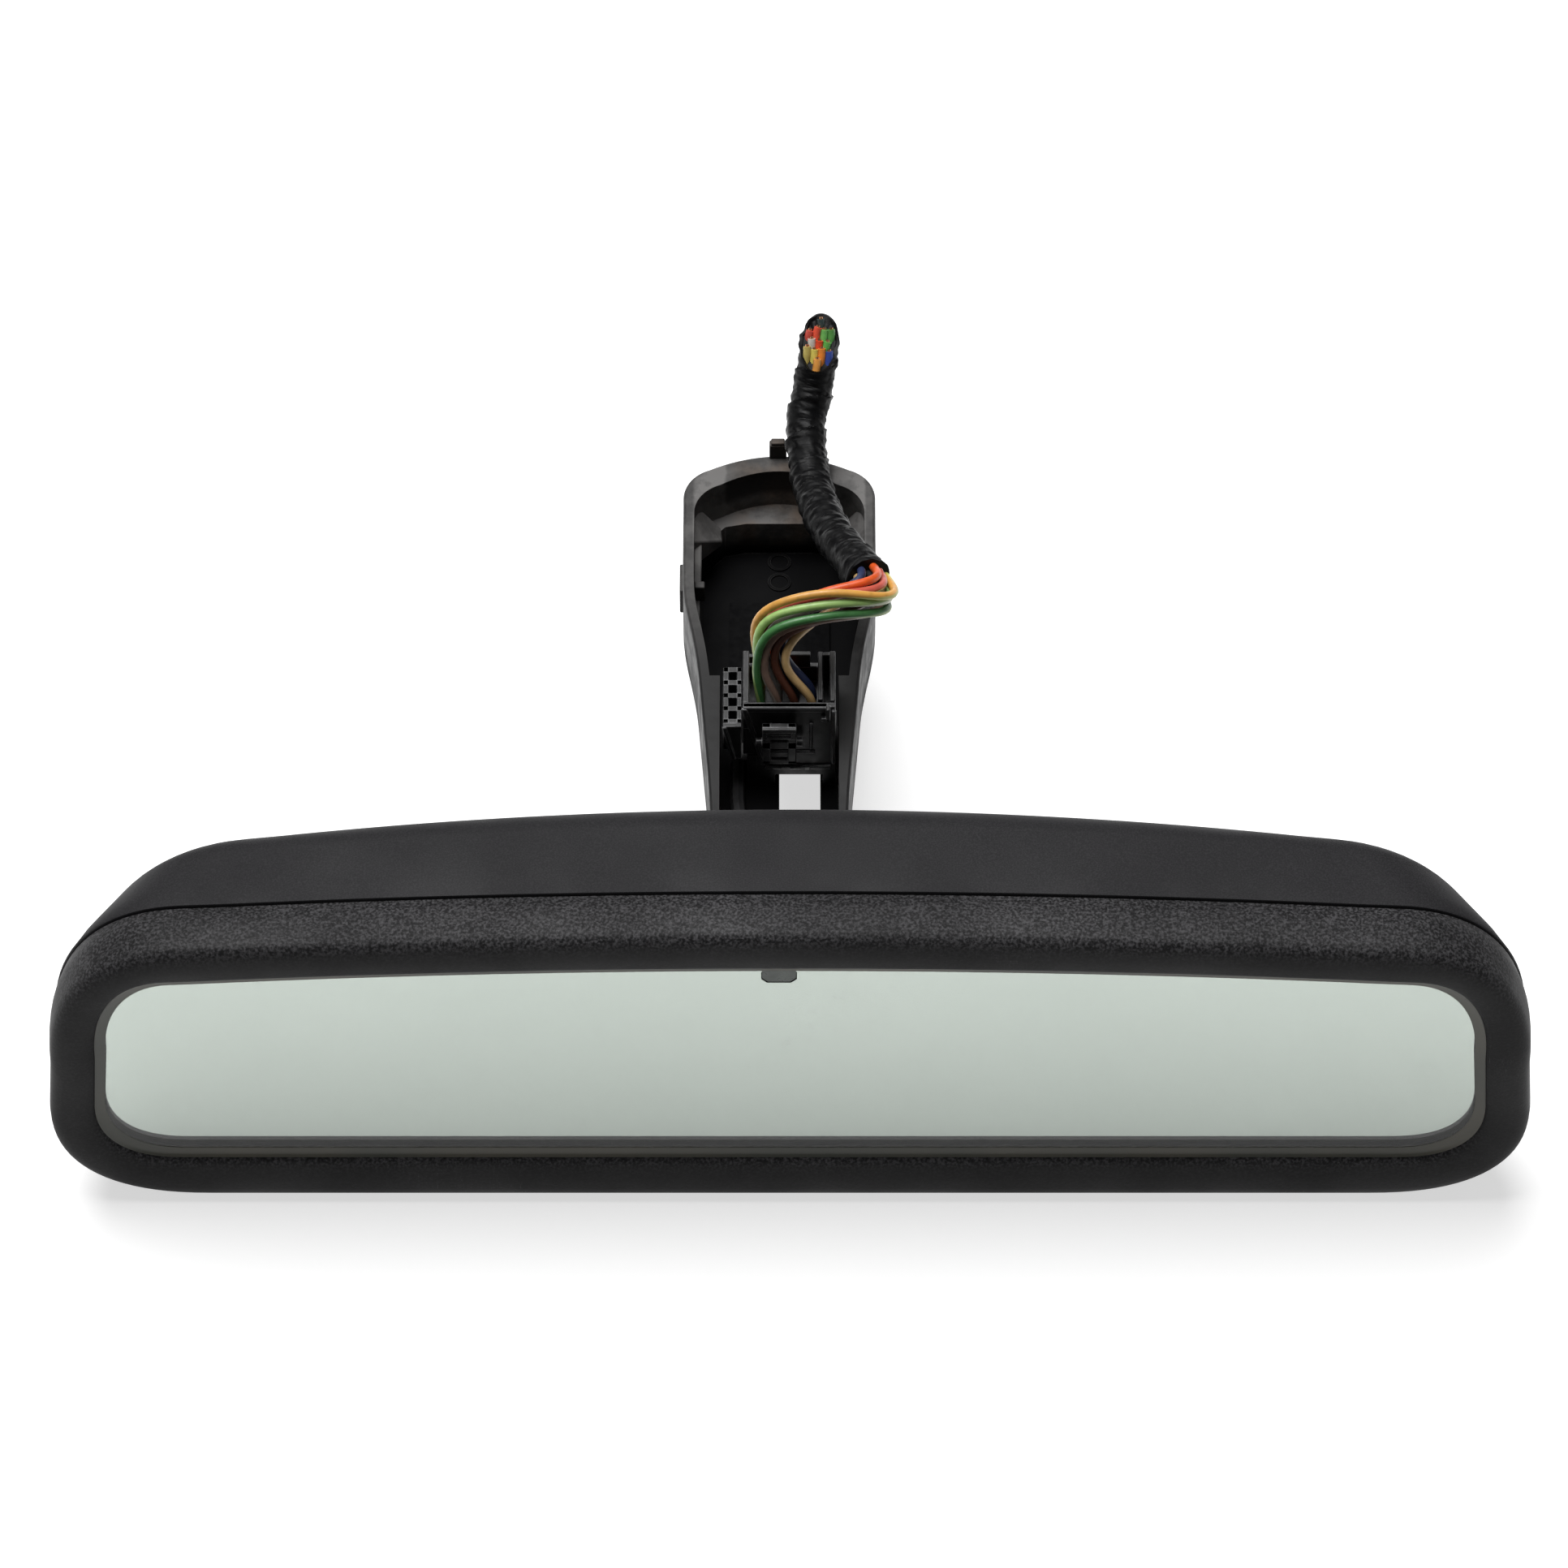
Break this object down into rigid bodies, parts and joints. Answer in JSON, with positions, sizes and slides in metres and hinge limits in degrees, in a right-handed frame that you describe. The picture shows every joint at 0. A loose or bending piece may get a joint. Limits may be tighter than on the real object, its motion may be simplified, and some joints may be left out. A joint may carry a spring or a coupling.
{
  "type": "interior rear-view mirror",
  "caption": "Auto-dimming interior rear-view mirror: arched wide head on a ball joint, hollow windscreen arm with an open foot, and a plugged, taped wiring harness cut short.",
  "frame": {"origin": "centre of the windscreen seat in the foot's cavity", "axes": "+Z out of the seat toward the windscreen, +X across the glass to the viewer's right, +Y away from the glass along the arm"},
  "size_m": [0.257, 0.1523, 0.0724],
  "materials": {
    "bezel_plastic": "coarse grained charcoal",
    "housing_plastic": "fine grained charcoal",
    "front_glass": "clear, faintly green",
    "seal": "black sealant",
    "mirror_coat": "grey-green reflector",
    "bus_clip": "tinned copper",
    "foam": "soft foam",
    "inner_plastic": "black",
    "circuit_board": "green laminate",
    "chips": "black",
    "board_connector": "cream nylon",
    "screw_steel": "zinc plated",
    "sensor_window": "dark grey-green",
    "sensor_body": "clear epoxy",
    "sensor_lens": "smoked",
    "socket_steel": "pressed steel",
    "acetal": "natural acetal",
    "spring_steel": "dark spring steel",
    "arm_plastic": "black, dusty",
    "stud_metal": "zinc die-cast",
    "seat_metal": "black painted",
    "screw_steel_black": "black oxide",
    "connector_plastic": "black nylon",
    "pin_metal": "tinned brass",
    "black_sleeve": "black PVC",
    "plug_plastic": "black nylon",
    "tape": "black harness tape",
    "cut_copper": "bright copper and PVC",
    "wire_green": "PVC insulation",
    "wire_taupe": "PVC insulation",
    "wire_brown": "PVC insulation",
    "wire_tan": "PVC insulation",
    "wire_light_green": "PVC insulation",
    "wire_grey": "PVC insulation",
    "wire_black": "PVC insulation",
    "wire_blue": "PVC insulation",
    "wire_amber": "PVC insulation",
    "wire_rose": "PVC insulation",
    "wire_orange": "PVC insulation"
  },
  "bodies": {
    "arm": {"foot_shell": "arm_plastic", "ball_stud": "stud_metal", "stud_screws": "screw_steel", "seat_plate": "seat_metal", "seat_screws": "screw_steel_black", "header_socket": "connector_plastic", "header_pins": "pin_metal", "inner_lead": "black_sleeve"},
    "ball_seat": {"ball_seat": "acetal"},
    "preload_ring": {"preload_ring": "spring_steel"},
    "head": {"bezel": "bezel_plastic", "rear_housing": "housing_plastic", "front_glass": "front_glass", "cell_seal": "seal", "rear_glass": "mirror_coat", "upper_bus_clip": "bus_clip", "lower_bus_clip": "bus_clip", "foam_pad": "foam", "carrier_plate": "inner_plastic", "circuit_board": "circuit_board", "board_chips": "chips", "board_connector": "board_connector", "board_screws": "screw_steel", "glare_sensor": "sensor_window", "ambient_sensor": "sensor_body", "ambient_lens": "sensor_lens", "socket_plate": "socket_steel", "socket_screws": "screw_steel"},
    "plug": {"plug_housing": "plug_plastic", "plug_slider": "plug_plastic", "plug_terminals": "pin_metal", "harness_tape": "tape", "cut_wire_ends": "cut_copper", "wire_1": "wire_green", "wire_2": "wire_taupe", "wire_3": "wire_brown", "wire_4": "wire_tan", "wire_5": "wire_light_green", "wire_6": "wire_grey", "wire_7": "wire_black", "wire_8": "wire_blue", "wire_9": "wire_amber", "wire_10": "wire_rose", "wire_11": "wire_orange"},
    "plug_latch": {"plug_latch": "plug_plastic"}
  },
  "joints": [
    {"name": "pan", "type": "hinge", "parent": "arm", "child": "ball_seat", "pos_m": [0, -0.076, 0.0082], "axis": [0, 0, 1], "range_deg": [-20, 20]},
    {"name": "tilt", "type": "hinge", "parent": "ball_seat", "child": "preload_ring", "pos_m": [0, -0.076, 0.0082], "axis": [1, 0, 0], "range_deg": [-15, 15]},
    {"name": "roll", "type": "hinge", "parent": "preload_ring", "child": "head", "pos_m": [0, -0.076, 0.0082], "axis": [0, 1, 0], "range_deg": [-8, 8]},
    {"name": "plug_pull", "type": "slide", "parent": "arm", "child": "plug", "axis": [0, 0, 1], "range_m": [0, 0.008]},
    {"name": "latch_press", "type": "hinge", "parent": "plug", "child": "plug_latch", "pos_m": [0, -0.0362, 0.0168], "axis": [1, 0, 0], "range_deg": [-6, 0], "stiffness_Nm_per_rad": 0.02}
  ]
}
